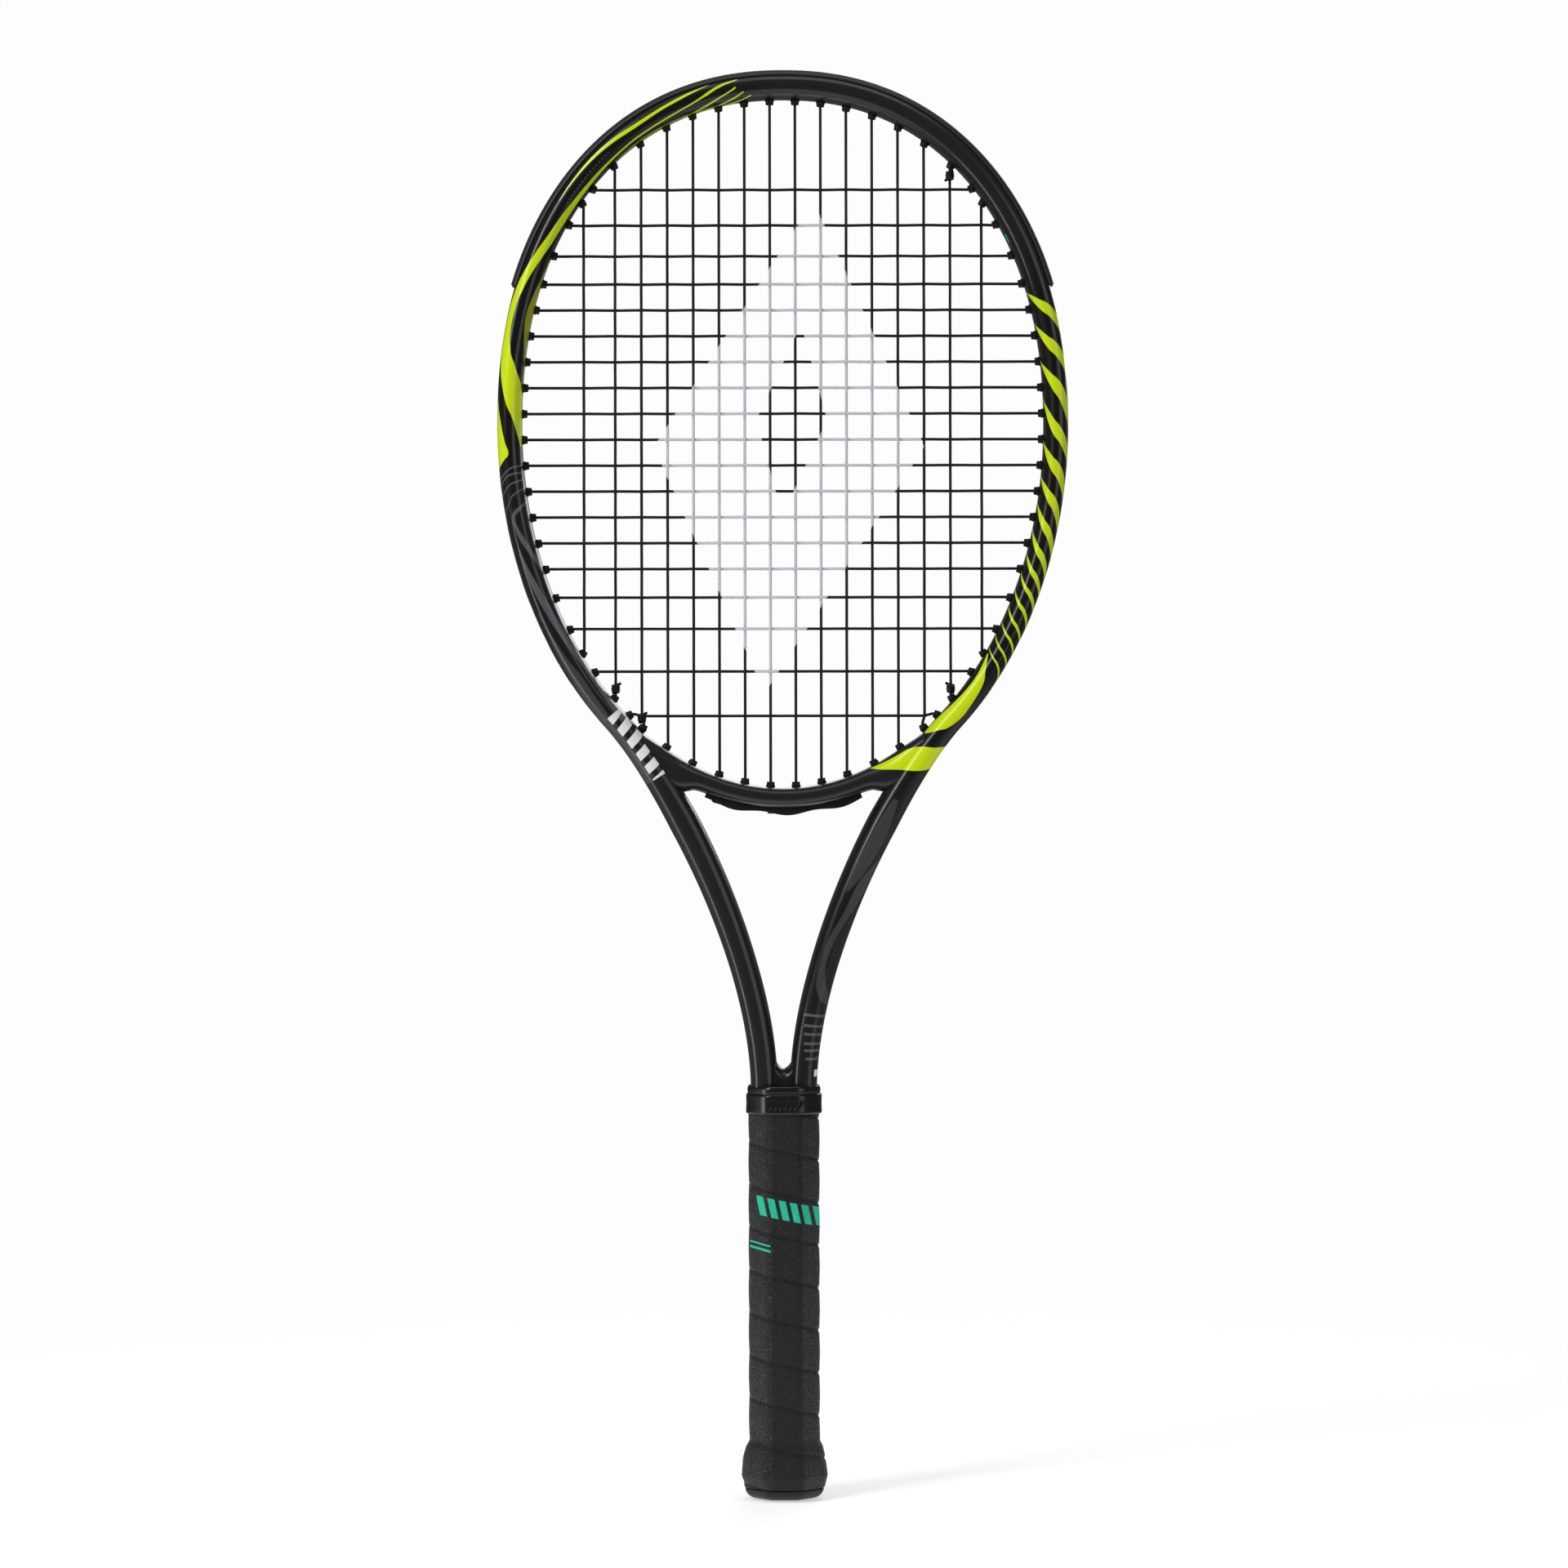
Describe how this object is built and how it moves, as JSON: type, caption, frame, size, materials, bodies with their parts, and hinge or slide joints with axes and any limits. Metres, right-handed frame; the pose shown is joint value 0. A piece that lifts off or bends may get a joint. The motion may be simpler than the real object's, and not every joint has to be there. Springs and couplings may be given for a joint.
{
  "type": "tennis racket",
  "caption": "Tennis racket with an oval strung head, an open V throat and an octagonal wound grip that flares at the butt, where a small trapdoor opens.",
  "frame": {"origin": "middle of the flat under the butt cap, at the lowest point of the racket held upright", "axes": "+Z from the butt up the handle to the tip of the head, +X across the face to the right as seen from the front, -Y out of the front of the string face"},
  "size_m": [0.2745, 0.0372, 0.6857],
  "materials": {
    "frame_lacquer": "gloss lacquer over moulded carbon fibre, with painted stripes",
    "grommet_nylon": "black moulded nylon",
    "string_black": "black polyester string, part of it painted white",
    "handle_foam": "rigid moulded foam",
    "cap_plastic": "black moulded plastic",
    "grip_synthetic": "black wound synthetic leather with a fine grain",
    "finishing_tape": "black adhesive tape",
    "collar_rubber": "black rubber",
    "staple_steel": "bare steel wire"
  },
  "bodies": {
    "racket": {"hairpin_frame": "frame_lacquer", "throat_bridge": "frame_lacquer", "bumper_guard": "grommet_nylon", "grommet_strip_left": "grommet_nylon", "grommet_strip_right": "grommet_nylon", "throat_grommet_strip": "grommet_nylon", "main_string": "string_black", "cross_string": "string_black", "pallet_front": "handle_foam", "pallet_back": "handle_foam", "butt_cap": "cap_plastic", "staple_front": "staple_steel", "staple_back": "staple_steel", "grip": "grip_synthetic", "finishing_tape": "finishing_tape", "rubber_collar": "collar_rubber"},
    "trapdoor": {"butt_cap_door": "cap_plastic"}
  },
  "joints": [
    {"name": "trapdoor_hinge", "type": "hinge", "parent": "racket", "child": "trapdoor", "pos_m": [0, 0.0049, 0.0016], "axis": [1, 0, 0], "range_deg": [0, 100]}
  ]
}
